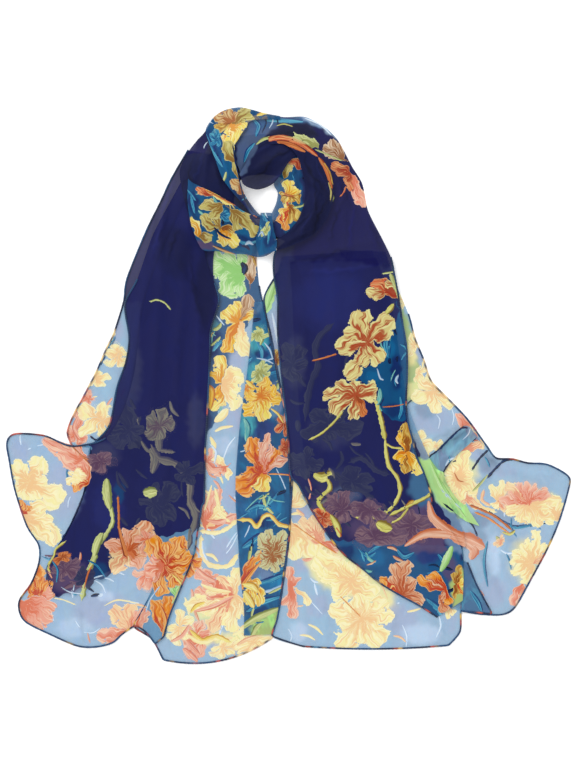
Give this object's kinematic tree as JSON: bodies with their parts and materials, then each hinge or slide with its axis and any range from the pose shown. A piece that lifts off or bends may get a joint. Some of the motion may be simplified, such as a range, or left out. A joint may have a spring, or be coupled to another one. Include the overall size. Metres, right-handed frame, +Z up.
{
  "type": "silk scarf",
  "caption": "Thin printed chiffon scarf lying flat, wound into a small open ring with its tails spread out below.",
  "frame": {"origin": "on the surface that the scarf lies on, under the middle of its box", "axes": "+Z up from the surface, +Y from the tails to the ring, +X to the right as seen from above"},
  "size_m": [0.697, 0.6895, 0.0275],
  "materials": {
    "navy_chiffon": "sheer woven silk chiffon, soft sheen",
    "pale_chiffon": "sheer woven silk chiffon, soft sheen",
    "teal_chiffon": "sheer woven silk chiffon, soft sheen",
    "flowered_chiffon": "sheer woven silk chiffon, printed with flowers"
  },
  "bodies": {
    "root": {"ring_core": "navy_chiffon", "middle_fall": "pale_chiffon", "middle_fold": "teal_chiffon", "left_corner": "pale_chiffon", "left_under": "navy_chiffon", "left_front": "navy_chiffon", "right_bottom": "pale_chiffon", "right_wing": "pale_chiffon", "right_corner": "teal_chiffon", "wing_fold": "teal_chiffon", "wing_pleat": "flowered_chiffon", "right_inner": "navy_chiffon", "right_front": "navy_chiffon", "left_shoulder": "navy_chiffon", "crown": "flowered_chiffon", "inner_fold": "flowered_chiffon", "inner_roll": "navy_chiffon", "right_wind": "navy_chiffon", "cross_band": "flowered_chiffon", "pinch": "teal_chiffon"}
  },
  "joints": []
}
